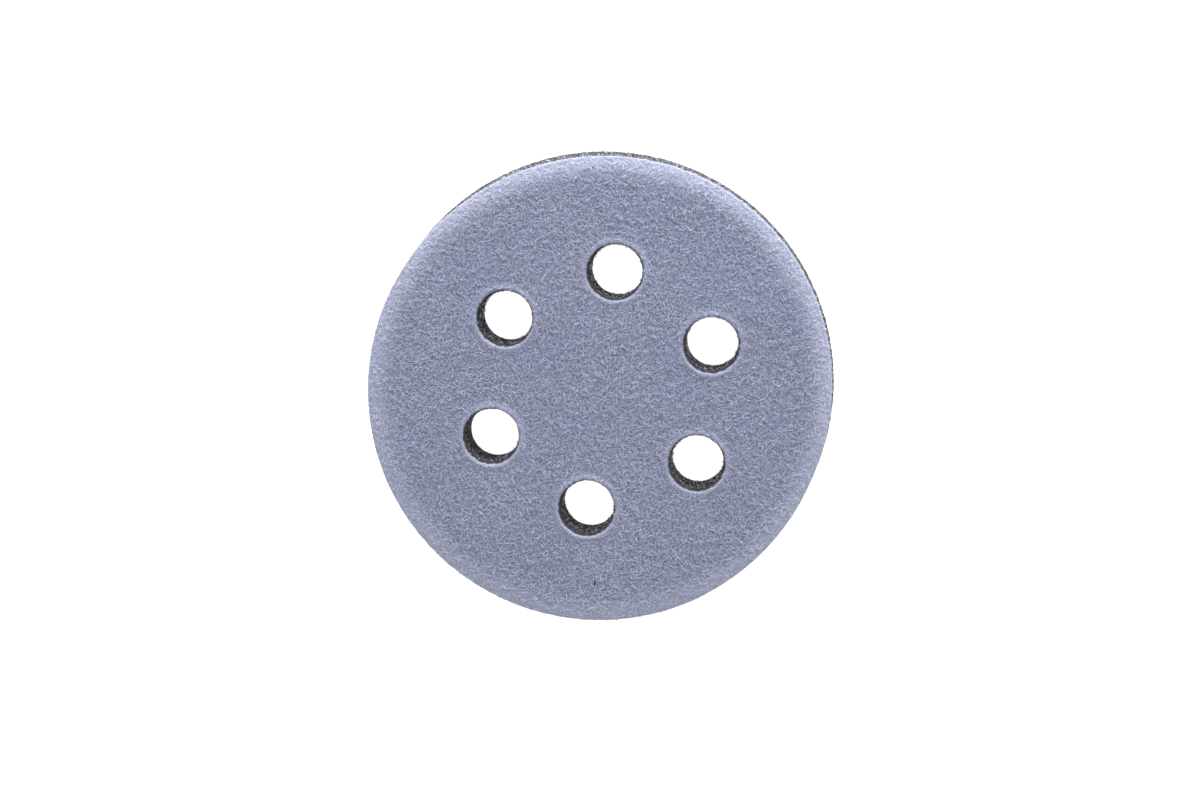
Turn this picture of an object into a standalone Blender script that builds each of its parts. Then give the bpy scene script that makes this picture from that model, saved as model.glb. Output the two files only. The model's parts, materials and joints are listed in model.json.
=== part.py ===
"""Six-hole polishing pad: a soft laminated disc that grips a random-orbital polisher's hook plate.

Blender 4.5, metres, +Z up. The origin is the centre of the back face, which lies in the XY plane, and
the working face looks along +Z. The layers, from the back to the face, are the loop cloth that the hook
plate grips, an adhesive film, the open-cell foam core, a second adhesive film and the napped fleece.
All five are die cut together, so the same six dust holes run through every layer.
"""

import math

import bmesh
import bpy

# The hole pattern, with the first hole on +Y.
HOLE_COUNT = 6
HOLE_CIRCLE_RADIUS = 0.040
FIRST_HOLE_ANGLE = math.radians(90)
HOLE_RADIUS = 0.00905

# The die-cut edge: foam bellies out towards the back, and its wall is slightly hollow.
BACK_RADIUS = 0.0781
FACE_RADIUS = 0.0777
FOAM_SET_BACK = 0.0003
FOAM_HOLLOW = 0.00025
FILM_SET_BACK = 0.0004

# Thicknesses, from the back up, and the clearance left between neighbouring layers.
LOOP_THICKNESS = 0.0018
FILM_THICKNESS = 0.0002
FOAM_THICKNESS = 0.0138
FLEECE_THICKNESS = 0.0030
LAYER_GAP = 0.0003

# The cloth rolls down at its cut edges: how far in the roll starts, and how deep it goes.
RIM_ROLL_WIDTH = 0.0066
RIM_ROLL_DEPTH = 0.0017
HOLE_ROLL_WIDTH = 0.0011
HOLE_ROLL_DEPTH = 0.0012
LOOP_EDGE_ROUND = 0.0005

# Facets.
RIM_SIDES = 96
HOLE_SIDES = 28
ROLL_STEPS = 4
FOAM_WALL_STEPS = 3
MERGE_DISTANCE = 1e-6
SMOOTH_ANGLE = math.radians(35)

# The height at which each layer starts.
LOOP_BASE = 0.0
BACK_FILM_BASE = LOOP_BASE + LOOP_THICKNESS + LAYER_GAP
FOAM_BASE = BACK_FILM_BASE + FILM_THICKNESS + LAYER_GAP
FACE_FILM_BASE = FOAM_BASE + FOAM_THICKNESS + LAYER_GAP
FLEECE_BASE = FACE_FILM_BASE + FILM_THICKNESS + LAYER_GAP


def clear_scene():
    for item in list(bpy.data.objects):
        bpy.data.objects.remove(item, do_unlink=True)


def new_collection(name):
    collection = bpy.data.collections.new(name)
    bpy.context.scene.collection.children.link(collection)
    return collection


def plain_material(name, colour, roughness, sheen=0.0):
    material = bpy.data.materials.new(name)
    material.use_nodes = True
    shader = material.node_tree.nodes["Principled BSDF"]
    shader.inputs["Base Color"].default_value = (*colour, 1.0)
    shader.inputs["Roughness"].default_value = roughness
    shader.inputs["Metallic"].default_value = 0.0
    shader.inputs["Sheen Weight"].default_value = sheen
    material.diffuse_color = (*colour, 1.0)
    return material


def turned_object(name, profile, sides, collection):
    """A solid turned round Z from (radius, height) points that run down its outer side."""
    shape = bmesh.new()
    corners = [shape.verts.new((radius, 0.0, height)) for radius, height in profile]
    for upper, lower in zip(corners, corners[1:]):
        shape.edges.new((upper, lower))
    mesh = bpy.data.meshes.new(name)
    shape.to_mesh(mesh)
    shape.free()
    turned = bpy.data.objects.new(name, mesh)
    collection.objects.link(turned)
    screw = turned.modifiers.new("Turn", "SCREW")
    screw.axis = "Z"
    screw.angle = 2 * math.pi
    screw.steps = sides
    screw.render_steps = sides
    screw.use_merge_vertices = True
    screw.merge_threshold = MERGE_DISTANCE
    screw.use_smooth_shade = False
    return turned


def quarter_roll(radius, top, width, depth, steps):
    """Points of a quarter ellipse that starts level at the top and ends upright at the radius."""
    points = []
    for step in range(steps + 1):
        turn = math.pi / 2 * step / steps
        across = radius - width + width * math.sin(turn)
        points.append((across, top - depth + depth * math.cos(turn)))
    return points


def flat_disc_profile(radius, base, thickness):
    top = base + thickness
    return [(0.0, top), (radius, top), (radius, base), (0.0, base)]


def loop_profile():
    top = LOOP_BASE + LOOP_THICKNESS
    corner = quarter_roll(BACK_RADIUS, top, LOOP_EDGE_ROUND, LOOP_EDGE_ROUND, 1)
    mirrored = [(radius, LOOP_BASE + top - height) for radius, height in reversed(corner)]
    return [(0.0, top), *corner, *mirrored, (0.0, LOOP_BASE)]


def foam_profile():
    """The foam's wall runs out from the face radius to the back radius, hollowed a little at mid height."""
    top = FOAM_BASE + FOAM_THICKNESS
    top_radius = FACE_RADIUS - FOAM_SET_BACK
    wall = []
    for step in range(FOAM_WALL_STEPS + 1):
        share = step / FOAM_WALL_STEPS
        straight = top_radius + (BACK_RADIUS - top_radius) * share
        hollow = FOAM_HOLLOW * math.sin(math.pi * share)
        wall.append((straight - hollow, top - FOAM_THICKNESS * share))
    return [(0.0, top), *wall, (0.0, FOAM_BASE)]


def fleece_profile():
    top = FLEECE_BASE + FLEECE_THICKNESS
    roll = quarter_roll(FACE_RADIUS, top, RIM_ROLL_WIDTH, RIM_ROLL_DEPTH, ROLL_STEPS)
    return [(0.0, top), *roll, (FACE_RADIUS, FLEECE_BASE), (0.0, FLEECE_BASE)]


def straight_cutter_profile():
    """A pin that runs past both faces of the pad."""
    top = FLEECE_BASE + 2 * FLEECE_THICKNESS
    base = LOOP_BASE - FLEECE_THICKNESS
    return [(0.0, top), (HOLE_RADIUS, top), (HOLE_RADIUS, base), (0.0, base)]


def flared_cutter_profile():
    """A pin whose upper end flares, so that the cloth it cuts rolls down into the hole."""
    top = FLEECE_BASE + FLEECE_THICKNESS
    past = top + FLEECE_THICKNESS
    base = FLEECE_BASE - FLEECE_THICKNESS
    mouth = HOLE_RADIUS + HOLE_ROLL_WIDTH
    flare = []
    for step in range(ROLL_STEPS):
        turn = math.pi / 2 * step / ROLL_STEPS
        across = mouth - HOLE_ROLL_WIDTH * math.sin(turn)
        flare.append((across, top - HOLE_ROLL_DEPTH + HOLE_ROLL_DEPTH * math.cos(turn)))
    upright = (HOLE_RADIUS, top - HOLE_ROLL_DEPTH)
    return [(0.0, past), (mouth, past), *flare, upright, (HOLE_RADIUS, base), (0.0, base)]


def hole_cutters(name, profile):
    """One cutter on each hole's axis, in a collection of their own."""
    cutters = new_collection(name)
    for index in range(HOLE_COUNT):
        angle = FIRST_HOLE_ANGLE + 2 * math.pi * index / HOLE_COUNT
        cutter = turned_object(f"{name}_{index + 1}", profile, HOLE_SIDES, cutters)
        cutter.location = (
            HOLE_CIRCLE_RADIUS * math.cos(angle),
            HOLE_CIRCLE_RADIUS * math.sin(angle),
            0.0,
        )
        cutter.hide_render = True
        cutter.display_type = "WIRE"
    return cutters


def die_cut_layer(name, profile, cutters, material, parts, back_centre):
    """A turned disc with the six holes cut through it, shaded smooth except at its creases."""
    layer = turned_object(name, profile, RIM_SIDES, parts)
    holes = layer.modifiers.new("Holes", "BOOLEAN")
    holes.operation = "DIFFERENCE"
    holes.operand_type = "COLLECTION"
    holes.collection = cutters
    holes.solver = "EXACT"
    graph = bpy.context.evaluated_depsgraph_get()
    cut = bpy.data.meshes.new_from_object(layer.evaluated_get(graph))
    cut.name = name
    cut.materials.clear()
    cut.materials.append(material)
    cut.shade_smooth()
    cut.set_sharp_from_angle(angle=SMOOTH_ANGLE)
    layer.modifiers.clear()
    layer.data = cut
    layer.parent = back_centre


def add_loop_backing(parts, cutters, back_centre):
    material = plain_material("loop_backing_cloth", (0.055, 0.056, 0.058), 0.92, 0.3)
    die_cut_layer("loop_backing", loop_profile(), cutters, material, parts, back_centre)


def add_back_adhesive(parts, cutters, back_centre):
    material = plain_material("back_adhesive_film", (0.110, 0.110, 0.105), 0.35)
    profile = flat_disc_profile(BACK_RADIUS - FILM_SET_BACK, BACK_FILM_BASE, FILM_THICKNESS)
    die_cut_layer("back_adhesive", profile, cutters, material, parts, back_centre)


def add_foam_core(parts, cutters, back_centre):
    material = plain_material("foam_core_polyurethane", (0.080, 0.083, 0.080), 0.95)
    die_cut_layer("foam_core", foam_profile(), cutters, material, parts, back_centre)


def add_face_adhesive(parts, cutters, back_centre):
    material = plain_material("face_adhesive_film", (0.110, 0.110, 0.105), 0.35)
    radius = FACE_RADIUS - FOAM_SET_BACK - FILM_SET_BACK
    profile = flat_disc_profile(radius, FACE_FILM_BASE, FILM_THICKNESS)
    die_cut_layer("face_adhesive", profile, cutters, material, parts, back_centre)


def add_face_fleece(parts, cutters, back_centre):
    material = plain_material("face_fleece_nap", (0.262, 0.283, 0.397), 0.95, 0.5)
    die_cut_layer("face_fleece", fleece_profile(), cutters, material, parts, back_centre)


def main():
    clear_scene()
    parts = new_collection("polishing_pad")
    straight = hole_cutters("hole_cutter", straight_cutter_profile())
    flared = hole_cutters("fleece_hole_cutter", flared_cutter_profile())
    back_centre = bpy.data.objects.new("back_centre", None)
    parts.objects.link(back_centre)
    add_loop_backing(parts, straight, back_centre)
    add_back_adhesive(parts, straight, back_centre)
    add_foam_core(parts, straight, back_centre)
    add_face_adhesive(parts, straight, back_centre)
    add_face_fleece(parts, flared, back_centre)


main()
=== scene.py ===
"""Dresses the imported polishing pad: napped fleece, open-cell foam, laminating films and loop cloth.

Metres, +Z up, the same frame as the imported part: the back face lies in the XY plane, the fleece looks
along +Z and the first hole is on +Y. The fibres of the nap, the loops and the foam's broken struts are
real closed shapes, strewn over the finished surfaces in a seeded random order.
"""

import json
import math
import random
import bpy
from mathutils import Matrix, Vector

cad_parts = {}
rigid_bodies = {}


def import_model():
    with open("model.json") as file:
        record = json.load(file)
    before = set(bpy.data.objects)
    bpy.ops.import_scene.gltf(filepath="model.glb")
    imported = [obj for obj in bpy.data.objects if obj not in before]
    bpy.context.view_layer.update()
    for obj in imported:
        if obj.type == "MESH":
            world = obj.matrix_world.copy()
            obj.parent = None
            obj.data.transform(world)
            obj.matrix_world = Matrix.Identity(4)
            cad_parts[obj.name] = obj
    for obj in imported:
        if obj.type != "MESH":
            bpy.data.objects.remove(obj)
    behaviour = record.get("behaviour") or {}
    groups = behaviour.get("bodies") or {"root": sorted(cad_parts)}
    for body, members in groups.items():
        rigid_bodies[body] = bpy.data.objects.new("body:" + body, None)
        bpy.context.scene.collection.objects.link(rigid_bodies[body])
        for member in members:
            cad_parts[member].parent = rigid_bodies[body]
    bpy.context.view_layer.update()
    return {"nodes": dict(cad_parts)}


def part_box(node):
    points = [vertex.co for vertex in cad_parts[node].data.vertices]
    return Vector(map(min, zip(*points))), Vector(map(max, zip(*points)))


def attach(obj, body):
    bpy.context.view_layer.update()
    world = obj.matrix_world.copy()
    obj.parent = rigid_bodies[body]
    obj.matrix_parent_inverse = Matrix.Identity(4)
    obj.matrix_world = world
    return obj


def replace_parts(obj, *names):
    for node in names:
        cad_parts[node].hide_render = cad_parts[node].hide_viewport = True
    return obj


bl_info = {
    "name": "Polishing Pad",
    "version": (1, 0, 0),
    "blender": (4, 5, 0),
    "location": "View3D > Sidebar > Polishing Pad",
    "description": "Builds a die-cut six-hole polishing pad from its fleece, foam, films and loop cloth",
    "category": "Add Mesh",
}

import bmesh
import bpy
import numpy as np
from bpy.props import FloatProperty, FloatVectorProperty, IntProperty, PointerProperty
from mathutils import Matrix, Vector, noise

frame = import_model()
FLEECE_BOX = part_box("face_fleece")
FACE_FILM_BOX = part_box("face_adhesive")
FOAM_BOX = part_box("foam_core")
BACK_FILM_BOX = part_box("back_adhesive")
LOOP_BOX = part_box("loop_backing")

BODY = "root"
MERGE_DISTANCE = 1e-6
TOUCH = 0.00002
FILL_SCALE = 1000.0

# The hole pattern.
HOLE_COUNT = 6
FIRST_HOLE_ANGLE = math.radians(90)

# The fleece's cut edges: how far they fluff out at the rim and fray back at the holes, how far under
# the face the holes' cut starts to show, and how wide and strong a painted sheen lies along both.
CUT_FLUFF = 0.0002
HOLE_FRAY = 0.0004
CUT_DEPTH = 0.0013
CUT_WIDTH = 0.0006
RIM_SHEEN_FROM = 0.0005
RIM_SHEEN_TO = 0.0095
HOLE_EDGE_FROM = 0.0005
HOLE_SHEEN_TO = 0.004
HOLE_THIN_NAP = 0.003
EDGE_SHEEN_SHARE = 0.5

# The foam's wall, which is set back under the fleece, hollow at mid height and closed at both ends.
FOAM_SET_BACK = 0.0003
FOAM_HOLLOW = 0.00025
FOAM_LUMP = 0.00008
FOAM_END = 0.004
STRUTS_TOP = 0.88
RIM_STRUT_SHARE = 0.1

# The films and the loop cloth, each set back from the die's line, and the ground of the loop cloth,
# whose loops stand down from it.
FILM_SET_BACK = 0.0002
LOOP_SET_BACK = 0.0002
LOOP_HEIGHT = 0.0009
LOOP_FRAY = 0.00012
PILE_RIM_MARGIN = 0.0014
PILE_HOLE_MARGIN = 0.0011

# The stray thread.
LINT_PLACE = (0.0058, -0.0655)
LINT_DIRECTION = math.radians(92)
LINT_LENGTH = 0.0020
LINT_THICKNESS = 0.0008
LINT_RISE = 0.0009

# The studio.
FLOOR_RADIUS = 6.0
FLOOR_GAP = 0.0001
LAMP_LENGTH = 1.4
LAMP_WIDTH = 0.5
LAMP_DISTANCE = 1.1
LAMP_HEIGHT_SHARE = 0.27
SENSOR_WIDTH = 36.0


class PadOutline(bpy.types.PropertyGroup):
    """Where the die cuts the pad."""

    hole_circle: FloatProperty(
        name="Hole circle radius",
        description="Distance from the pad's centre to each hole's centre",
        default=0.040,
        unit="LENGTH",
    )
    hole_radius: FloatProperty(
        name="Hole radius",
        description="Radius of each hole in the foam",
        default=0.00905,
        unit="LENGTH",
    )
    face_radius: FloatProperty(
        name="Face radius",
        description="Radius of the fleece",
        default=FLEECE_BOX[1].x,
        unit="LENGTH",
    )
    back_radius: FloatProperty(
        name="Back radius",
        description="Radius of the foam and the loop cloth at the back",
        default=FOAM_BOX[1].x,
        unit="LENGTH",
    )
    face_shift: FloatProperty(
        name="Face off centre",
        description="How far the fleece's edge was cut off the centre of the hole pattern",
        default=0.00083,
        unit="LENGTH",
    )
    face_shift_towards: FloatProperty(
        name="Face off-centre direction",
        description="Direction in which the fleece's edge lies off centre",
        default=math.radians(197),
        subtype="ANGLE",
    )
    back_shift: FloatProperty(
        name="Back off centre",
        description="How far the back's edge was cut off the centre of the hole pattern",
        default=0.00085,
        unit="LENGTH",
    )
    back_shift_towards: FloatProperty(
        name="Back off-centre direction",
        description="Direction in which the back's edge lies off centre",
        default=math.radians(147),
        subtype="ANGLE",
    )
    face_oval: FloatProperty(
        name="Face oval",
        description="How far the fleece's edge is stretched out of round",
        default=0.00088,
        unit="LENGTH",
    )
    back_oval: FloatProperty(
        name="Back oval",
        description="How far the back's edge is stretched out of round",
        default=0.00035,
        unit="LENGTH",
    )
    oval_towards: FloatProperty(
        name="Oval direction",
        description="Direction in which the disc is longest",
        default=math.radians(59),
        subtype="ANGLE",
    )
    face_waver: FloatProperty(
        name="Face waver",
        description="Three shallow lobes in the fleece's edge",
        default=0.00022,
        unit="LENGTH",
    )


class FleeceSettings(bpy.types.PropertyGroup):
    """The knitted ground of the fleece and the nap raised on it."""

    cloth_grain: FloatProperty(
        name="Ground mesh size",
        description="Edge length of the ground cloth's mesh",
        default=0.0006,
        unit="LENGTH",
    )
    nap_depth: FloatProperty(
        name="Nap depth",
        description="How far the ground lies under the fleece's outer surface",
        default=0.0008,
        unit="LENGTH",
    )
    pale: FloatVectorProperty(
        name="Pale fibre",
        description="Colour of the raised fibres",
        default=(0.505, 0.535, 0.70),
        subtype="COLOR",
        size=3,
    )
    middle: FloatVectorProperty(
        name="Middle fibre",
        description="Colour of most of the nap",
        default=(0.43, 0.46, 0.62),
        subtype="COLOR",
        size=3,
    )
    deep: FloatVectorProperty(
        name="Deep fibre",
        description="Colour of the flat-lying fibres",
        default=(0.41, 0.44, 0.60),
        subtype="COLOR",
        size=3,
    )
    ground: FloatVectorProperty(
        name="Ground",
        description="Colour of the knitted ground under the nap",
        default=(0.235, 0.255, 0.37),
        subtype="COLOR",
        size=3,
    )
    cut_edge: FloatVectorProperty(
        name="Cut edge",
        description="Colour of the ground where the holes are cut through it",
        default=(0.030, 0.030, 0.034),
        subtype="COLOR",
        size=3,
    )
    # Painted sheen: the paler colour along the rim and round the holes stands in for the light that the
    # rolled nap catches at the cut edges.
    brushed: FloatVectorProperty(
        name="Brushed edge",
        description="Colour of the fluffed fibres along the cut edges",
        default=(0.70, 0.725, 0.88),
        subtype="COLOR",
        size=3,
    )
    lint: FloatVectorProperty(
        name="Lint",
        description="Colour of the stray thread caught in the nap",
        default=(0.02, 0.02, 0.05),
        subtype="COLOR",
        size=3,
    )


class FoamSettings(bpy.types.PropertyGroup):
    """The open-cell foam disc."""

    column_width: FloatProperty(
        name="Wall mesh size",
        description="Edge length of the foam wall's mesh",
        default=0.00036,
        unit="LENGTH",
    )
    cell: FloatProperty(
        name="Cell size",
        description="Distance between neighbouring foam cells",
        default=0.00125,
        unit="LENGTH",
    )
    pore_depth: FloatProperty(
        name="Pore depth",
        description="Depth of the opened cells in the cut wall",
        default=0.0006,
        unit="LENGTH",
    )
    struts: FloatProperty(
        name="Broken struts",
        description="How many broken struts stand out of the cut wall, against the usual number",
        default=1.0,
    )
    strut: FloatVectorProperty(
        name="Strut",
        description="Colour of the foam's struts, which catch the light",
        default=(0.18, 0.178, 0.205),
        subtype="COLOR",
        size=3,
    )
    # Painted shade: this near-black colour, painted into the foam's opened cells and fine specks, stands
    # in for the shade inside them.
    pore: FloatVectorProperty(
        name="Pore",
        description="Colour inside the foam's cells",
        default=(0.010, 0.010, 0.011),
        subtype="COLOR",
        size=3,
    )


class LoopSettings(bpy.types.PropertyGroup):
    """The loop cloth on the back."""

    loops_per_square_mm: FloatProperty(
        name="Loops per square millimetre",
        description="How closely the loops stand",
        default=0.62,
    )
    yarn: FloatVectorProperty(
        name="Yarn",
        description="Colour of the loop cloth",
        default=(0.11, 0.112, 0.12),
        subtype="COLOR",
        size=3,
    )


class StudioSettings(bpy.types.PropertyGroup):
    """The camera and the light."""

    distance: FloatProperty(
        name="Camera distance",
        description="From the camera to the middle of the face",
        default=0.85,
        unit="LENGTH",
    )
    lens: FloatProperty(
        name="Lens",
        description="Focal length in millimetres on a 36 mm sensor",
        default=76.7,
    )
    lean_towards: FloatProperty(
        name="Lean direction",
        description="Direction round the pad towards which the camera leans off its axis",
        default=math.radians(66.5),
        subtype="ANGLE",
    )
    lean: FloatProperty(
        name="Lean",
        description="Angle between the camera's line of sight and the pad's axis",
        default=math.radians(9.1),
        subtype="ANGLE",
    )
    up_direction: FloatProperty(
        name="Up direction",
        description="Direction round the pad that points up in the picture",
        default=math.radians(96.8),
        subtype="ANGLE",
    )
    rise: FloatProperty(
        name="Rise in the picture",
        description="How far the pad's middle stands above the middle of the picture",
        default=0.00290,
        unit="LENGTH",
    )
    slide: FloatProperty(
        name="Slide in the picture",
        description="How far the pad's middle stands right of the middle of the picture",
        default=0.00018,
        unit="LENGTH",
    )
    key_direction: FloatProperty(
        name="Key direction",
        description="Direction round the pad from which the long soft light shines",
        default=math.radians(89),
        subtype="ANGLE",
    )
    key_power: FloatProperty(
        name="Key light",
        description="Power of the long soft light beyond the top of the picture",
        default=29.0,
        unit="POWER",
    )
    surround: FloatProperty(
        name="Surround",
        description="Strength of the white surround",
        default=0.80,
    )
    seed: IntProperty(
        name="Seed",
        description="Start of every random choice",
        default=7,
    )


# Shared helpers.


def hole_centres(outline):
    turns = [FIRST_HOLE_ANGLE + 2 * math.pi * index / HOLE_COUNT for index in range(HOLE_COUNT)]
    return [Vector((math.cos(turn), math.sin(turn), 0.0)) * outline.hole_circle for turn in turns]


def new_piece(name, mesh):
    piece = bpy.data.objects.new(name, mesh)
    bpy.context.scene.collection.objects.link(piece)
    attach(piece, BODY)
    return piece


def ordered_mesh(name, shape):
    """The shape as a mesh whose points and faces come in the same order each time it is built."""
    corners = sorted(shape.verts, key=lambda corner: tuple(round(axis * SORT_SCALE) for axis in corner.co))
    rank = {corner: index for index, corner in enumerate(corners)}
    faces = []
    for face in shape.faces:
        ring = [rank[corner] for corner in face.verts]
        first = ring.index(min(ring))
        faces.append(ring[first:] + ring[:first])
    mesh = bpy.data.meshes.new(name)
    mesh.from_pydata([corner.co for corner in corners], [], sorted(faces))
    shape.free()
    return mesh


def evaluated_mesh(piece):
    graph = bpy.context.evaluated_depsgraph_get()
    return bpy.data.meshes.new_from_object(piece.evaluated_get(graph))


def points_of(mesh):
    flat = np.empty(len(mesh.vertices) * 3, np.float32)
    mesh.vertices.foreach_get("co", flat)
    return flat.reshape(-1, 3).astype(float)


def normals_of(mesh):
    flat = np.empty(len(mesh.vertices) * 3, np.float32)
    mesh.vertex_normals.foreach_get("vector", flat)
    return flat.reshape(-1, 3).astype(float)


def set_points(mesh, points):
    mesh.vertices.foreach_set("co", points.astype(np.float32).ravel())
    mesh.update()


def set_attribute(mesh, name, values):
    layer = mesh.attributes.new(name, "FLOAT", "POINT")
    layer.data.foreach_set("value", np.asarray(values, np.float32))


def lumps(points, per_metre, height):
    """Smooth random lumps, of a fineness and a height, at each point."""
    return np.array([noise.noise(Vector(point) * per_metre) for point in points]) * height


def smooth_step(value, low, high):
    share = np.clip((value - low) / (high - low), 0.0, 1.0)
    return share * share * (3 - 2 * share)


def face_swell(outline, turn):
    """How far the fleece's edge stands out of its true circle, in a direction round the pad."""
    shift = outline.face_shift * np.cos(turn - outline.face_shift_towards)
    oval = outline.face_oval * np.cos(2 * (turn - outline.oval_towards))
    return shift + oval + outline.face_waver * np.cos(3 * (turn - outline.oval_towards))


def back_swell(outline, turn):
    """How far the back's edge stands out of its true circle, in a direction round the pad."""
    shift = outline.back_shift * np.cos(turn - outline.back_shift_towards)
    return shift + outline.back_oval * np.cos(2 * (turn - outline.oval_towards))


def swollen_face(points, outline):
    """The points with the face's swell added, which fades out before it reaches the holes."""
    away = np.hypot(points[:, 0], points[:, 1])
    turn = np.arctan2(points[:, 1], points[:, 0])
    start = outline.hole_circle + 1.4 * outline.hole_radius
    growth = face_swell(outline, turn) + CUT_FLUFF
    growth = growth * smooth_step(away, start, outline.face_radius)
    result = points.copy()
    result[:, :2] *= (1.0 + growth / np.maximum(away, MERGE_DISTANCE))[:, None]
    return result


def away_from_holes(points, outline, push):
    """The points moved level, away from the axis of the nearest hole."""
    moved = points.copy()
    for centre in hole_centres(outline):
        offset = points[:, :2] - np.array(centre[:2])
        reach = np.hypot(offset[:, 0], offset[:, 1])
        nearby = reach < 2 * outline.hole_radius
        moved[nearby, :2] += offset[nearby] * (push[nearby] / reach[nearby])[:, None]
    return moved


def hole_distance(points, outline):
    """How far each point lies outside the nearest hole, seen from above."""
    nearest = np.full(len(points), np.inf)
    for centre in hole_centres(outline):
        from_hole = np.hypot(points[:, 0] - centre.x, points[:, 1] - centre.y)
        nearest = np.minimum(nearest, from_hole - outline.hole_radius)
    return nearest


# Materials.


def new_material(name, roughness):
    material = bpy.data.materials.new(name)
    material.use_nodes = True
    tree = material.node_tree
    shader = tree.nodes["Principled BSDF"]
    shader.inputs["Roughness"].default_value = roughness
    place = tree.nodes.new("ShaderNodeTexCoord").outputs["Object"]
    return material, tree, shader, place


def noise_node(tree, place, scale, detail=2.0):
    texture = tree.nodes.new("ShaderNodeTexNoise")
    texture.inputs["Scale"].default_value = scale
    texture.inputs["Detail"].default_value = detail
    tree.links.new(place, texture.inputs["Vector"])
    return texture.outputs["Fac"]


def ramp_node(tree, factor, stops):
    ramp = tree.nodes.new("ShaderNodeValToRGB")
    elements = ramp.color_ramp.elements
    while len(elements) < len(stops):
        elements.new(0.5)
    for element, (position, colour) in zip(elements, stops):
        element.position = position
        element.color = (*colour, 1.0)
    tree.links.new(factor, ramp.inputs["Fac"])
    return ramp.outputs["Color"]


def bump_node(tree, shader, height, strength, distance):
    bump = tree.nodes.new("ShaderNodeBump")
    bump.inputs["Strength"].default_value = strength
    bump.inputs["Distance"].default_value = distance
    tree.links.new(height, bump.inputs["Height"])
    tree.links.new(bump.outputs["Normal"], shader.inputs["Normal"])


def faded(tree, colour, attribute, towards, share):
    """The colour, mixed towards another where the mesh's attribute rises to 1."""
    level = tree.nodes.new("ShaderNodeAttribute")
    level.attribute_name = attribute
    amount = tree.nodes.new("ShaderNodeMath")
    amount.operation = "MULTIPLY"
    amount.inputs[1].default_value = share
    tree.links.new(level.outputs["Fac"], amount.inputs[0])
    blend = tree.nodes.new("ShaderNodeMix")
    blend.data_type = "RGBA"
    tree.links.new(amount.outputs["Value"], blend.inputs["Factor"])
    tree.links.new(colour, blend.inputs["A"])
    blend.inputs["B"].default_value = (*towards, 1.0)
    return blend.outputs["Result"]


def toned(colour, factor, shift=(1.0, 1.0, 1.0)):
    return tuple(min(1.0, channel * factor * move) for channel, move in zip(colour, shift))


def fibre_material(name, colour, brushed, sheen):
    """Dyed fibre whose tone wanders over a few centimetres, painted paler along the cut edges as a painted
    sheen.
    """
    material, tree, shader, place = new_material(name, 0.82)
    wander = noise_node(tree, place, 45.0, 3.0)
    stops = (
        (0.30, toned(colour, 0.95, (0.99, 0.99, 1.02))),
        (0.50, colour),
        (0.70, toned(colour, 1.05, (1.01, 1.01, 0.98))),
    )
    colour = faded(tree, ramp_node(tree, wander, stops), "brushed", brushed, EDGE_SHEEN_SHARE)
    tree.links.new(colour, shader.inputs["Base Color"])
    shader.inputs["Sheen Weight"].default_value = sheen
    shader.inputs["Sheen Roughness"].default_value = 0.4
    shader.inputs["Sheen Tint"].default_value = (0.86, 0.88, 1.0, 1.0)
    shader.inputs["Specular IOR Level"].default_value = 0.3
    return material


def ground_material(colour, brushed, cut_edge):
    """The knitted ground between the fibres: dark in its stitches, painted paler along the cut edges as a
    painted sheen, darkest where the holes cut it.
    """
    material, tree, shader, place = new_material("fleece_ground", 0.95)
    stitches = tree.nodes.new("ShaderNodeTexVoronoi")
    stitches.inputs["Scale"].default_value = 1300.0
    tree.links.new(place, stitches.inputs["Vector"])
    stops = ((0.1, toned(colour, 1.2)), (0.6, toned(colour, 0.65)))
    tone = ramp_node(tree, stitches.outputs["Distance"], stops)
    tone = faded(tree, tone, "brushed", brushed, 0.6 * EDGE_SHEEN_SHARE)
    tone = faded(tree, tone, "cut", cut_edge, 1.0)
    tree.links.new(tone, shader.inputs["Base Color"])
    bump_node(tree, shader, stitches.outputs["Distance"], 0.6, 0.0002)
    return material


def foam_material(settings):
    """Dark foam, paler on the struts, with painted shade: black in the opened cells and in fine random
    specks.
    """
    material, tree, shader, place = new_material("foam_polyurethane", 0.9)
    stops = (
        (0.44, tuple(settings.pore)),
        (0.52, toned(settings.strut, 0.4)),
        (0.60, tuple(settings.strut)),
    )
    # Painted shade: the fine specks and the opened cells are darkened towards the pore colour.
    speckled = ramp_node(tree, noise_node(tree, place, 1500.0, 3.0), stops)
    tree.links.new(
        faded(tree, speckled, "pore", settings.pore, 0.8), shader.inputs["Base Color"]
    )
    bump_node(tree, shader, noise_node(tree, place, 2600.0, 4.0), 0.5, 0.00012)
    return material


def film_material(name):
    """Cured laminating film, dark with the foam it has soaked into."""
    material, tree, shader, place = new_material(name, 0.35)
    mottle = noise_node(tree, place, 900.0, 3.0)
    stops = ((0.35, (0.050, 0.050, 0.048)), (0.65, (0.125, 0.125, 0.12)))
    tree.links.new(ramp_node(tree, mottle, stops), shader.inputs["Base Color"])
    bump_node(tree, shader, mottle, 0.3, 0.0001)
    return material


def yarn_material(name, colour):
    """Matt spun yarn."""
    material, tree, shader, place = new_material(name, 0.85)
    mottle = noise_node(tree, place, 700.0, 3.0)
    stops = ((0.3, toned(colour, 0.6)), (0.7, toned(colour, 1.5)))
    tree.links.new(ramp_node(tree, mottle, stops), shader.inputs["Base Color"])
    shader.inputs["Sheen Weight"].default_value = 0.25
    return material


# Fibres.

PATH_STEPS = 24
SORT_SCALE = 1e7
NAP_SHAPES = 14
STRUT_SHAPES = 10
LOOP_SHAPES = 8


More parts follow.
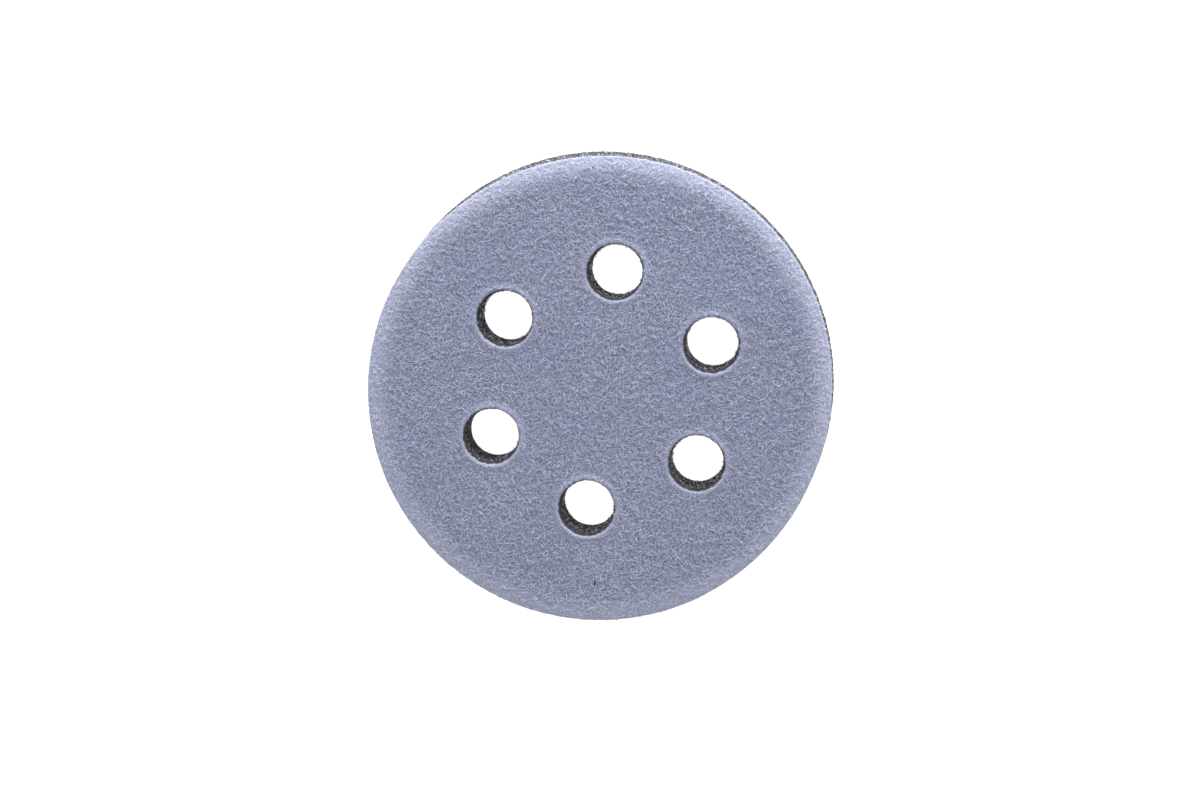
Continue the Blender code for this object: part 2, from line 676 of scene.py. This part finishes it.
def bent_spindle(name, sections, length, thickness, heading, start=0.0):
    """A closed three-sided fibre, pointed at both ends, bent along the path that heading steers."""
    path = [Vector((0.0, 0.0, start))]
    tangents = []
    for step in range(PATH_STEPS):
        turn, climb = heading((step + 0.5) / PATH_STEPS)
        tangent = Vector(
            (math.cos(turn) * math.cos(climb), math.sin(turn) * math.cos(climb), math.sin(climb))
        )
        tangents.append(tangent)
        path.append(path[-1] + tangent * (length / PATH_STEPS))
    shape = bmesh.new()
    bmesh.ops.create_uvsphere(shape, u_segments=3, v_segments=sections, radius=1.0)
    for corner in shape.verts:
        share = 1.0 - math.acos(max(-1.0, min(1.0, corner.co.z))) / math.pi
        tangent = tangents[min(PATH_STEPS - 1, int(share * PATH_STEPS))]
        side = tangent.cross(Vector((0.0, 0.0, 1.0)))
        side = side.normalized() if side.length > 1e-6 else Vector((1.0, 0.0, 0.0))
        over = tangent.cross(side)
        middle = path[round(share * PATH_STEPS)]
        corner.co = middle + (side * corner.co.x + over * corner.co.y) * (thickness / 2)
    mesh = ordered_mesh(name, shape)
    mesh.shade_smooth()
    return mesh


def nap_variants(name, chance, count, sections, lengths, thickness, climbs):
    """Unlike fibres of one kind, curled left and right, in a collection of their own."""
    variants = bpy.data.collections.new(name)
    for index in range(count):
        curl = chance.uniform(-2.6, 2.6)
        rise = math.radians(chance.uniform(*climbs))
        wave = chance.uniform(-0.8, 0.8)

        def heading(share, curl=curl, rise=rise, wave=wave):
            return curl * share + wave * math.sin(5 * share), rise * (1.0 - 1.15 * share)

        length = chance.uniform(*lengths)
        mesh = bent_spindle(
            f"{name}_{index}", sections, length, thickness * chance.uniform(0.8, 1.25), heading, -0.00015
        )
        variants.objects.link(bpy.data.objects.new(f"{name}_{index}", mesh))
    return variants


def scatter_tree(name, variants, density, seed, share_name, tilt, spread):
    """Geometry nodes that stand a random variant at each of the points strewn over the faces."""
    tree = bpy.data.node_groups.new(name, "GeometryNodeTree")
    tree.interface.new_socket("Geometry", in_out="INPUT", socket_type="NodeSocketGeometry")
    tree.interface.new_socket("Geometry", in_out="OUTPUT", socket_type="NodeSocketGeometry")
    node, link = tree.nodes.new, tree.links.new
    source, result = node("NodeGroupInput"), node("NodeGroupOutput")

    share = node("GeometryNodeInputNamedAttribute")
    share.data_type = "FLOAT"
    share.inputs["Name"].default_value = share_name
    amount = node("ShaderNodeMath")
    amount.operation = "MULTIPLY"
    amount.inputs[1].default_value = density
    link(share.outputs["Attribute"], amount.inputs[0])

    strewn = node("GeometryNodeDistributePointsOnFaces")
    strewn.inputs["Seed"].default_value = seed
    link(source.outputs["Geometry"], strewn.inputs["Mesh"])
    link(amount.outputs["Value"], strewn.inputs["Density"])

    kinds = node("GeometryNodeCollectionInfo")
    kinds.inputs["Collection"].default_value = variants
    kinds.inputs["Separate Children"].default_value = True
    kinds.inputs["Reset Children"].default_value = True

    pick = node("FunctionNodeRandomValue")
    pick.data_type = "INT"
    pick.inputs["Min"].default_value = 0
    pick.inputs["Max"].default_value = len(variants.objects) - 1
    pick.inputs["Seed"].default_value = seed + 1

    turn = node("FunctionNodeRandomValue")
    turn.data_type = "FLOAT_VECTOR"
    turn.inputs["Min"].default_value = (-tilt, -tilt, 0.0)
    turn.inputs["Max"].default_value = (tilt, tilt, 2 * math.pi)
    turn.inputs["Seed"].default_value = seed + 2
    turned = node("FunctionNodeRotateRotation")
    turned.rotation_space = "LOCAL"
    link(strewn.outputs["Rotation"], turned.inputs["Rotation"])
    link(turn.outputs["Value"], turned.inputs["Rotate By"])

    size = node("FunctionNodeRandomValue")
    size.data_type = "FLOAT"
    size.inputs["Min"].default_value = 1.0 - spread
    size.inputs["Max"].default_value = 1.0 + spread
    size.inputs["Seed"].default_value = seed + 3
    reach = node("GeometryNodeInputNamedAttribute")
    reach.data_type = "FLOAT"
    reach.inputs["Name"].default_value = "reach"
    scaled = node("ShaderNodeMath")
    scaled.operation = "MULTIPLY"
    link(size.outputs["Value"], scaled.inputs[0])
    link(reach.outputs["Attribute"], scaled.inputs[1])

    planted = node("GeometryNodeInstanceOnPoints")
    planted.inputs["Pick Instance"].default_value = True
    link(strewn.outputs["Points"], planted.inputs["Points"])
    link(kinds.outputs["Instances"], planted.inputs["Instance"])
    link(pick.outputs["Value"], planted.inputs["Instance Index"])
    link(turned.outputs["Rotation"], planted.inputs["Rotation"])
    link(scaled.outputs["Value"], planted.inputs["Scale"])

    real = node("GeometryNodeRealizeInstances")
    link(planted.outputs["Instances"], real.inputs["Geometry"])
    link(real.outputs["Geometry"], result.inputs["Geometry"])
    return tree


def strew(name, bed, variants, density, seed, material, share_name, tilt=0.22, spread=0.25):
    """A piece made of real fibres planted all over the bed's faces."""
    carrier = bpy.data.objects.new(f"{name}_carrier", bed)
    bpy.context.scene.collection.objects.link(carrier)
    planting = carrier.modifiers.new("Planting", "NODES")
    planting.node_group = scatter_tree(name, variants, density, seed, share_name, tilt, spread)
    mesh = evaluated_mesh(carrier)
    mesh.name = name
    bpy.data.objects.remove(carrier)
    for fibre in list(variants.objects):
        bpy.data.objects.remove(fibre)
    bpy.data.collections.remove(variants)
    mesh.materials.clear()
    mesh.materials.append(material)
    mesh.shade_smooth()
    if not mesh.polygons:
        raise RuntimeError(f"no fibre of {name} was planted")
    return new_piece(name, mesh)


# The fleece.


def cad_shape(node):
    """A CAD node's surface with its loose triangles joined."""
    shape = bmesh.new()
    shape.from_mesh(frame["nodes"][node].data)
    bmesh.ops.remove_doubles(shape, verts=shape.verts, dist=MERGE_DISTANCE)
    return shape


def remeshed(name, shape, size):
    mesh = bpy.data.meshes.new(name)
    shape.to_mesh(mesh)
    shape.free()
    blank = bpy.data.objects.new(name, mesh)
    bpy.context.scene.collection.objects.link(blank)
    even = blank.modifiers.new("Even mesh", "REMESH")
    even.mode = "VOXEL"
    even.voxel_size = size
    result = evaluated_mesh(blank)
    bpy.data.objects.remove(blank)
    return result


def fill_between(shape, edges, normal):
    """Fills the flat region between loops of edges, in millimetres, since tiny sizes upset the fill."""
    bmesh.ops.scale(shape, verts=shape.verts, vec=(FILL_SCALE,) * 3)
    bmesh.ops.triangle_fill(shape, edges=edges, use_beauty=True, normal=normal)
    bmesh.ops.scale(shape, verts=shape.verts, vec=(1 / FILL_SCALE,) * 3)


def flat_underside(mesh, below):
    """Swaps everything under a height for one flat face with the holes left open."""
    shape = bmesh.new()
    shape.from_mesh(mesh)
    low = [face for face in shape.faces if all(corner.co.z < below for corner in face.verts)]
    bmesh.ops.delete(shape, geom=low, context="FACES")
    cut = [edge for edge in shape.edges if edge.is_boundary]
    fill_between(shape, cut, (0.0, 0.0, -1.0))
    bmesh.ops.recalc_face_normals(shape, faces=shape.faces)
    shape.to_mesh(mesh)
    shape.free()


def mark_nap(mesh, under, cut, upright, from_rim, from_hole):
    """Notes at each point how many fibres of each kind it bears, how long they are and how strong the
    edges' painted sheen is there.
    """
    # Along the edges a sheen is painted in, with more pale fibres, fewer flat ones and a paler colour; the
    # holes' cut has no fibres at all.
    near_rim = 1.0 - smooth_step(from_rim, RIM_SHEEN_FROM, RIM_SHEEN_TO)
    near_hole = 1.0 - smooth_step(from_hole, HOLE_EDGE_FROM, HOLE_SHEEN_TO)
    brushed = np.maximum(near_rim * (0.7 + 0.3 * upright), 0.4 * near_hole)
    planted = (~under & ~cut).astype(float)
    set_attribute(mesh, "cut", cut)
    set_attribute(mesh, "deep_share", planted * (1.0 - 0.6 * brushed))
    set_attribute(mesh, "middle_share", planted)
    set_attribute(mesh, "pale_share", planted * (1.0 + 0.4 * brushed))
    set_attribute(mesh, "brushed", brushed)

    # The fibres are shorter on the steep edges and round the holes.
    on_level = 0.35 + 0.65 * smooth_step(upright, 0.15, 0.9)
    off_holes = 0.5 + 0.5 * smooth_step(from_hole, 0.0003, 0.0018)
    set_attribute(mesh, "reach", on_level * off_holes)


def build_fleece_cloth(context):
    outline, settings = context.scene.pad_outline, context.scene.pad_fleece
    base = FLEECE_BOX[0].z
    mesh = remeshed("fleece_cloth", cad_shape("face_fleece"), settings.cloth_grain)
    flat_underside(mesh, base + 0.6 * settings.cloth_grain)
    points, normals = points_of(mesh), normals_of(mesh)
    under = points[:, 2] < base + 0.7 * settings.cloth_grain
    rough = lumps(points, 650.0, 0.00010) + lumps(points, 45.0, 0.00016)
    upright = np.clip(normals[:, 2], 0.0, 1.0)
    from_rim = outline.face_radius - np.hypot(points[:, 0], points[:, 1])
    from_hole = hole_distance(points, outline)
    fray = HOLE_FRAY * (1.0 - smooth_step(from_hole, 0.0, HOLE_THIN_NAP))
    frayed = away_from_holes(points, outline, fray)
    thickness = 0.45 + 0.55 * smooth_step(from_hole, HOLE_EDGE_FROM, HOLE_THIN_NAP)
    depth = settings.nap_depth * upright * thickness
    points = frayed + normals * np.where(under, 0.0, rough - depth)[:, None]
    points[under, 2] = FACE_FILM_BOX[1].z + TOUCH
    set_points(mesh, swollen_face(points, outline))
    cut = (from_hole < CUT_WIDTH) & (points[:, 2] < FLEECE_BOX[1].z - CUT_DEPTH)
    mark_nap(mesh, under, cut, upright, from_rim, from_hole)
    mesh.shade_smooth()
    mesh.materials.clear()
    mesh.materials.append(ground_material(settings.ground, settings.brushed, settings.cut_edge))
    piece = new_piece("fleece_cloth", mesh)
    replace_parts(piece, "face_fleece")
    return piece


NAP_KINDS = (
    # kind, batches, sections, lengths, thickness, climb in degrees, per mm2, sheen, spread of size
    ("deep", 2, 3, (0.0012, 0.0020), 0.00017, (4, 16), 0.80, 0.15, 0.25),
    ("middle", 3, 3, (0.0013, 0.0023), 0.00015, (8, 24), 0.80, 0.3, 0.3),
    ("pale", 3, 5, (0.0020, 0.0032), 0.00014, (10, 28), 0.30, 0.4, 0.3),
)


def caught_lint(settings, seed):
    """A short stray thread lying in the nap."""
    chance = random.Random(f"{seed} lint")
    bend = chance.uniform(0.4, 0.8)

    def heading(share):
        return bend * (share - 0.5), 0.25 * (0.5 - share)

    mesh = bent_spindle("caught_lint", 8, LINT_LENGTH, LINT_THICKNESS, heading)
    turned = Matrix.Rotation(LINT_DIRECTION, 4, "Z")
    mesh.transform(Matrix.Translation((*LINT_PLACE, FLEECE_BOX[1].z + LINT_RISE)) @ turned)
    material, tree, shader, place = new_material("lint_thread", 0.8)
    fuzz = noise_node(tree, place, 3000.0)
    stops = ((0.3, toned(settings.lint, 0.6)), (0.7, toned(settings.lint, 2.0)))
    tree.links.new(ramp_node(tree, fuzz, stops), shader.inputs["Base Color"])
    mesh.materials.append(material)
    return new_piece("caught_lint", mesh)


def build_nap(context):
    settings, seed = context.scene.pad_fleece, context.scene.pad_studio.seed
    cloth = bpy.data.objects["fleece_cloth"]
    for kind, batches, sections, lengths, thickness, climbs, density, sheen, spread in NAP_KINDS:
        colour = getattr(settings, kind)
        material = fibre_material(f"fibre_{kind}", colour, settings.brushed, sheen)
        for batch in range(1, batches + 1):
            name = f"nap_{kind}_{batch}"
            chance = random.Random(f"{seed} {name}")
            variants = nap_variants(
                f"{name}_fibres", chance, NAP_SHAPES, sections, lengths, thickness, climbs
            )
            strew(
                    name,
                    cloth.data,
                    variants,
                    density * 1e6,
                    chance.randrange(10000),
                    material,
                    f"{kind}_share",
                    spread=spread,
                )
    caught_lint(settings, seed)


# The foam.


def holed_disc(outline, radius, hole_radius, rim_steps, hole_steps, swell):
    """A flat disc with the six holes, filled between its edges."""
    shape = bmesh.new()
    rim = bmesh.ops.create_circle(shape, cap_ends=False, segments=rim_steps, radius=radius)["verts"]
    for corner in rim:
        turn = math.atan2(corner.co.y, corner.co.x)
        corner.co *= 1.0 + swell(outline, turn) / radius
    for centre in hole_centres(outline):
        bmesh.ops.create_circle(
            shape,
            cap_ends=False,
            segments=hole_steps,
            radius=hole_radius,
            matrix=Matrix.Translation(centre),
        )
    fill_between(shape, shape.edges[:], (0.0, 0.0, 1.0))
    return shape


def thickened(shape, base, top, rows):
    """The flat disc as a solid whose walls are cut into rows."""
    bmesh.ops.translate(shape, verts=shape.verts, vec=(0.0, 0.0, base))
    grown = bmesh.ops.extrude_face_region(shape, geom=shape.faces[:], use_keep_orig=True)
    raised = [item for item in grown["geom"] if isinstance(item, bmesh.types.BMVert)]
    bmesh.ops.translate(shape, verts=raised, vec=(0.0, 0.0, top - base))
    bmesh.ops.recalc_face_normals(shape, faces=shape.faces)
    posts = [edge for edge in shape.edges if abs(edge.verts[0].co.z - edge.verts[1].co.z) > 1e-5]
    if rows > 1:
        bmesh.ops.subdivide_edges(shape, edges=posts, cuts=rows - 1, use_grid_fill=True)
    # A row cut from above or from below differs in its last digit, so each is set to its own height.
    for corner in shape.verts:
        row = round((corner.co.z - base) / (top - base) * rows)
        corner.co.z = base + (top - base) * row / rows


def cell_relief(points, cell):
    """0 on the struts between foam cells, 1 in the middle of an opened cell."""
    relief = np.empty(len(points))
    for index, point in enumerate(points):
        distances, _ = noise.voronoi(Vector(point) / cell, distance_metric="DISTANCE")
        relief[index] = distances[1] - distances[0]
    return smooth_step(relief, 0.02, 0.55)


def wall_directions(points, outline):
    """The level direction out of the foam at each point of its walls, and which points are on the rim."""
    from_axis = np.hypot(points[:, 0], points[:, 1])
    on_rim = from_axis > 0.9 * outline.face_radius
    outwards = np.zeros_like(points)
    outwards[on_rim, :2] = points[on_rim, :2] / from_axis[on_rim, None]
    for centre in hole_centres(outline):
        offset = points[:, :2] - np.array(centre[:2])
        reach = np.hypot(offset[:, 0], offset[:, 1])
        wall = reach < outline.hole_radius + 1e-4
        outwards[wall, :2] = -offset[wall] / reach[wall, None]
    return outwards, on_rim


def build_foam(context):
    outline, settings = context.scene.pad_outline, context.scene.pad_foam
    base, top = BACK_FILM_BOX[1].z + TOUCH, FACE_FILM_BOX[0].z - TOUCH
    rim_steps = round(2 * math.pi * outline.back_radius / settings.column_width)
    hole_steps = round(2 * math.pi * outline.hole_radius / settings.column_width)
    rows = round((top - base) / settings.column_width)
    shape = holed_disc(
        outline, outline.back_radius, outline.hole_radius, rim_steps, hole_steps, back_swell
    )
    thickened(shape, base, top, rows)
    mesh = ordered_mesh("foam_body", shape)

    points = points_of(mesh)
    from_axis = np.hypot(points[:, 0], points[:, 1])
    outwards, on_rim = wall_directions(points, outline)
    height = (points[:, 2] - base) / (top - base)
    turn = np.arctan2(points[:, 1], points[:, 0])
    top_radius = outline.face_radius - FOAM_SET_BACK + face_swell(outline, turn)
    flare = (from_axis - top_radius) * height
    hollow = FOAM_HOLLOW * np.sin(math.pi * height)
    points[on_rim] -= outwards[on_rim] * (flare + hollow)[on_rim, None]

    coarse = cell_relief(points, settings.cell)
    fine = cell_relief(points + 0.5, settings.cell * 0.55)
    pore = np.clip(0.72 * coarse + 0.4 * fine, 0.0, 1.0)
    inner = (height > FOAM_END) & (height < 1.0 - FOAM_END)
    sink = settings.pore_depth * (pore - 0.35) - lumps(points, 420.0, FOAM_LUMP)
    points -= outwards * (sink * np.where(inner, 1.0, 0.35))[:, None]
    set_points(mesh, points)
    set_attribute(mesh, "pore", pore)
    set_attribute(mesh, "strut_share", inner * np.where(on_rim, RIM_STRUT_SHARE, height < STRUTS_TOP))
    set_attribute(mesh, "reach", np.ones(len(points)))
    mesh.materials.append(foam_material(settings))
    piece = new_piece("foam_body", mesh)
    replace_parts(piece, "foam_core")
    build_struts(mesh, settings, context.scene.pad_studio.seed)


# The dark struts are painted in shade and the bright ones with painted highlights, each at a tone times
# the strut colour.
STRUT_KINDS = (
    # kind, sections, lengths, thickness, tone, per mm2
    ("dark", 3, (0.0004, 0.0009), 0.00018, 0.35, 0.60),
    ("bright", 4, (0.0006, 0.0010), 0.00028, 4.5, 0.75),
)


def build_struts(mesh, settings, seed):
    """The broken struts that stand out of the cut foam wall, painted as lit and shaded copies of the
    foam's grey: painted highlights on some and painted shade on the rest.
    """
    for kind, sections, lengths, thickness, tone, density in STRUT_KINDS:
        chance = random.Random(f"{seed} {kind} struts")
        variants = bpy.data.collections.new(f"{kind}_struts")
        for index in range(STRUT_SHAPES):
            lean = chance.uniform(-1.2, 1.2)
            climb = math.radians(chance.uniform(35, 80))
            bend = chance.uniform(0.2, 1.2)

            def heading(share, lean=lean, climb=climb, bend=bend):
                return lean * share, climb - bend * share

            shape_name = f"{kind}_strut_{index}"
            strut = bent_spindle(
                shape_name, sections, chance.uniform(*lengths), thickness, heading, -0.0002
            )
            variants.objects.link(bpy.data.objects.new(shape_name, strut))
        material, tree, shader, place = new_material(f"foam_strut_{kind}", 0.7)
        stops = ((0.4, toned(settings.strut, 0.7 * tone)), (0.6, toned(settings.strut, tone)))
        specks = noise_node(tree, place, 900.0, 1.0)
        tree.links.new(ramp_node(tree, specks, stops), shader.inputs["Base Color"])
        strew(
            f"foam_struts_{kind}",
            mesh,
            variants,
            density * settings.struts * 1e6,
            chance.randrange(10000),
            material,
            "strut_share",
            tilt=0.3,
            spread=0.4,
        )


# The films and the loop cloth.


def build_films(context):
    outline = context.scene.pad_outline
    layers = (
        ("face_adhesive", "face_film", FACE_FILM_BOX, face_swell),
        ("back_adhesive", "back_film", BACK_FILM_BOX, back_swell),
    )
    for node, name, box, swell in layers:
        hole_radius = outline.hole_radius + FILM_SET_BACK
        shape = holed_disc(outline, box[1].x, hole_radius, rim_steps=240, hole_steps=48, swell=swell)
        thickened(shape, box[0].z, box[1].z, 1)
        mesh = ordered_mesh(name, shape)
        mesh.materials.append(film_material(f"{name}_resin"))
        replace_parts(new_piece(name, mesh), node)


def plant_loops(outline, settings, ground, seed):
    """The loops that stand down from the loop cloth's ground, short of its cut edges."""
    chance = random.Random(f"{seed} loops")
    variants = bpy.data.collections.new("loop_shapes")
    for index in range(LOOP_SHAPES):
        lean = chance.uniform(-0.5, 0.5)

        def heading(share, lean=lean):
            return lean * share, math.radians(80 - 160 * share)

        loop = bent_spindle(
            f"loop_{index}", 4, chance.uniform(0.0015, 0.0019), 0.00036, heading, -0.0001
        )
        variants.objects.link(bpy.data.objects.new(f"loop_{index}", loop))
    shape = holed_disc(
        outline,
        outline.back_radius - PILE_RIM_MARGIN,
        outline.hole_radius + PILE_HOLE_MARGIN,
        120,
        30,
        back_swell,
    )
    bmesh.ops.translate(shape, verts=shape.verts, vec=(0.0, 0.0, ground))
    bmesh.ops.reverse_faces(shape, faces=shape.faces)
    bed = ordered_mesh("loop_bed", shape)
    for name in ("loop_share", "reach"):
        set_attribute(bed, name, np.ones(len(bed.vertices)))
    return strew(
        "loop_pile",
        bed,
        variants,
        settings.loops_per_square_mm * 1e6,
        chance.randrange(10000),
        yarn_material("loop_yarn", settings.yarn),
        "loop_share",
        tilt=0.12,
        spread=0.1,
    )


def build_loop_cloth(context):
    outline, settings = context.scene.pad_outline, context.scene.pad_loops
    seed = context.scene.pad_studio.seed
    top = BACK_FILM_BOX[0].z - TOUCH
    ground = LOOP_BOX[0].z + LOOP_HEIGHT
    rim_radius = outline.back_radius - LOOP_SET_BACK
    shape = holed_disc(outline, rim_radius, outline.hole_radius, 360, 60, back_swell)
    thickened(shape, ground, top, 3)
    mesh = ordered_mesh("loop_cloth", shape)
    points = points_of(mesh)
    away = np.hypot(points[:, 0], points[:, 1])
    points[:, :2] *= (1.0 + lumps(points, 900.0, LOOP_FRAY) / away)[:, None]
    set_points(mesh, points)
    mesh.materials.append(yarn_material("loop_ground", toned(settings.yarn, 0.35)))
    cloth = new_piece("loop_cloth", mesh)
    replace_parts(cloth, "loop_backing")

    pile = plant_loops(outline, settings, ground, seed)


# The studio.


def build_floor():
    shape = bmesh.new()
    bmesh.ops.create_circle(shape, cap_ends=True, segments=96, radius=FLOOR_RADIUS)
    mesh = bpy.data.meshes.new("studio_floor")
    shape.to_mesh(mesh)
    shape.free()
    floor = bpy.data.objects.new("studio_floor", mesh)
    bpy.context.scene.collection.objects.link(floor)
    floor.location.z = LOOP_BOX[0].z - FLOOR_GAP
    material, _, shader, _ = new_material("studio_white", 0.9)
    shader.inputs["Base Color"].default_value = (0.85, 0.85, 0.85, 1.0)
    shader.inputs["Emission Color"].default_value = (1.0, 1.0, 1.0, 1.0)
    shader.inputs["Emission Strength"].default_value = 0.95
    mesh.materials.append(material)


def build_light(studio):
    world = bpy.data.worlds.new("studio_surround")
    world.use_nodes = True
    backdrop = world.node_tree.nodes["Background"]
    backdrop.inputs["Color"].default_value = (1.0, 1.0, 1.0, 1.0)
    backdrop.inputs["Strength"].default_value = studio.surround
    bpy.context.scene.world = world
    lamp = bpy.data.lights.new("long_soft_light", "AREA")
    lamp.shape = "RECTANGLE"
    lamp.size = LAMP_LENGTH
    lamp.size_y = LAMP_WIDTH
    lamp.energy = studio.key_power
    light = bpy.data.objects.new("long_soft_light", lamp)
    bpy.context.scene.collection.objects.link(light)
    side = studio.key_direction
    light.location = Vector((math.cos(side), math.sin(side), LAMP_HEIGHT_SHARE)) * LAMP_DISTANCE
    light.rotation_euler = (-light.location).to_track_quat("-Z", "Y").to_euler()


def build_camera(studio):
    """The camera leans off the pad's axis and looks at a point just below the pad's middle."""
    lean, towards, up = studio.lean, studio.lean_towards, studio.up_direction
    back = Vector(
        (
            math.sin(lean) * math.cos(towards),
            math.sin(lean) * math.sin(towards),
            math.cos(lean),
        )
    )
    right = Vector((math.cos(up), math.sin(up), 0.0)).cross(back).normalized()
    upwards = back.cross(right)
    camera = bpy.data.cameras.new("studio_camera")
    camera.lens = studio.lens
    camera.sensor_width = SENSOR_WIDTH
    camera.clip_start = 0.01
    camera.clip_end = 30.0
    eye = bpy.data.objects.new("studio_camera", camera)
    bpy.context.scene.collection.objects.link(eye)
    middle = Vector((0.0, 0.0, FLEECE_BOX[1].z))
    turned = Matrix((right, upwards, back)).transposed().to_4x4()
    place = middle + back * studio.distance - upwards * studio.rise - right * studio.slide
    eye.matrix_world = Matrix.Translation(place) @ turned
    bpy.context.scene.camera = eye


# Operators.


class PAD_OT_fleece_cloth(bpy.types.Operator):
    """Build the fleece's ground cloth, rolled down at its cut edges"""

    bl_idname = "pad.fleece_cloth"
    bl_label = "Fleece Cloth"

    def execute(self, context):
        build_fleece_cloth(context)
        return {"FINISHED"}


class PAD_OT_nap(bpy.types.Operator):
    """Raise the curled nap over the fleece cloth"""

    bl_idname = "pad.nap"
    bl_label = "Nap"

    def execute(self, context):
        build_nap(context)
        return {"FINISHED"}


class PAD_OT_foam(bpy.types.Operator):
    """Build the open-cell foam core"""

    bl_idname = "pad.foam"
    bl_label = "Foam Core"

    def execute(self, context):
        build_foam(context)
        return {"FINISHED"}


class PAD_OT_films(bpy.types.Operator):
    """Finish the two laminating films"""

    bl_idname = "pad.films"
    bl_label = "Laminating Films"

    def execute(self, context):
        build_films(context)
        return {"FINISHED"}


class PAD_OT_loop_cloth(bpy.types.Operator):
    """Build the loop cloth and its loops"""

    bl_idname = "pad.loop_cloth"
    bl_label = "Loop Cloth"

    def execute(self, context):
        build_loop_cloth(context)
        return {"FINISHED"}


class PAD_OT_studio(bpy.types.Operator):
    """Set the floor, the light and the camera"""

    bl_idname = "pad.studio"
    bl_label = "Studio"

    def execute(self, context):
        scene = context.scene
        scene.view_settings.view_transform = "Standard"
        build_floor()
        build_light(scene.pad_studio)
        build_camera(scene.pad_studio)
        return {"FINISHED"}


OPERATORS = (
    PAD_OT_fleece_cloth,
    PAD_OT_nap,
    PAD_OT_foam,
    PAD_OT_films,
    PAD_OT_loop_cloth,
    PAD_OT_studio,
)
SETTINGS = {
    "pad_outline": PadOutline,
    "pad_fleece": FleeceSettings,
    "pad_foam": FoamSettings,
    "pad_loops": LoopSettings,
    "pad_studio": StudioSettings,
}


class PAD_PT_panel(bpy.types.Panel):
    """Lists the pad's settings and the operators that build it"""

    bl_idname = "PAD_PT_panel"
    bl_label = "Polishing Pad"
    bl_space_type = "VIEW_3D"
    bl_region_type = "UI"
    bl_category = "Polishing Pad"

    def draw(self, context):
        layout = self.layout
        for name, group in SETTINGS.items():
            box = layout.box()
            for setting in group.__annotations__:
                box.prop(getattr(context.scene, name), setting)
        for operator in OPERATORS:
            layout.operator(operator.bl_idname)


def register():
    for group in SETTINGS.values():
        bpy.utils.register_class(group)
    for name, group in SETTINGS.items():
        setattr(bpy.types.Scene, name, PointerProperty(type=group))
    for shown in (*OPERATORS, PAD_PT_panel):
        bpy.utils.register_class(shown)


def unregister():
    for shown in (PAD_PT_panel, *reversed(OPERATORS)):
        bpy.utils.unregister_class(shown)
    for name, group in SETTINGS.items():
        delattr(bpy.types.Scene, name)
        bpy.utils.unregister_class(group)


def main():
    register()
    bpy.ops.pad.fleece_cloth()
    bpy.ops.pad.nap()
    bpy.ops.pad.foam()
    bpy.ops.pad.films()
    bpy.ops.pad.loop_cloth()
    bpy.ops.pad.studio()


if __name__ == "__main__":
    main()
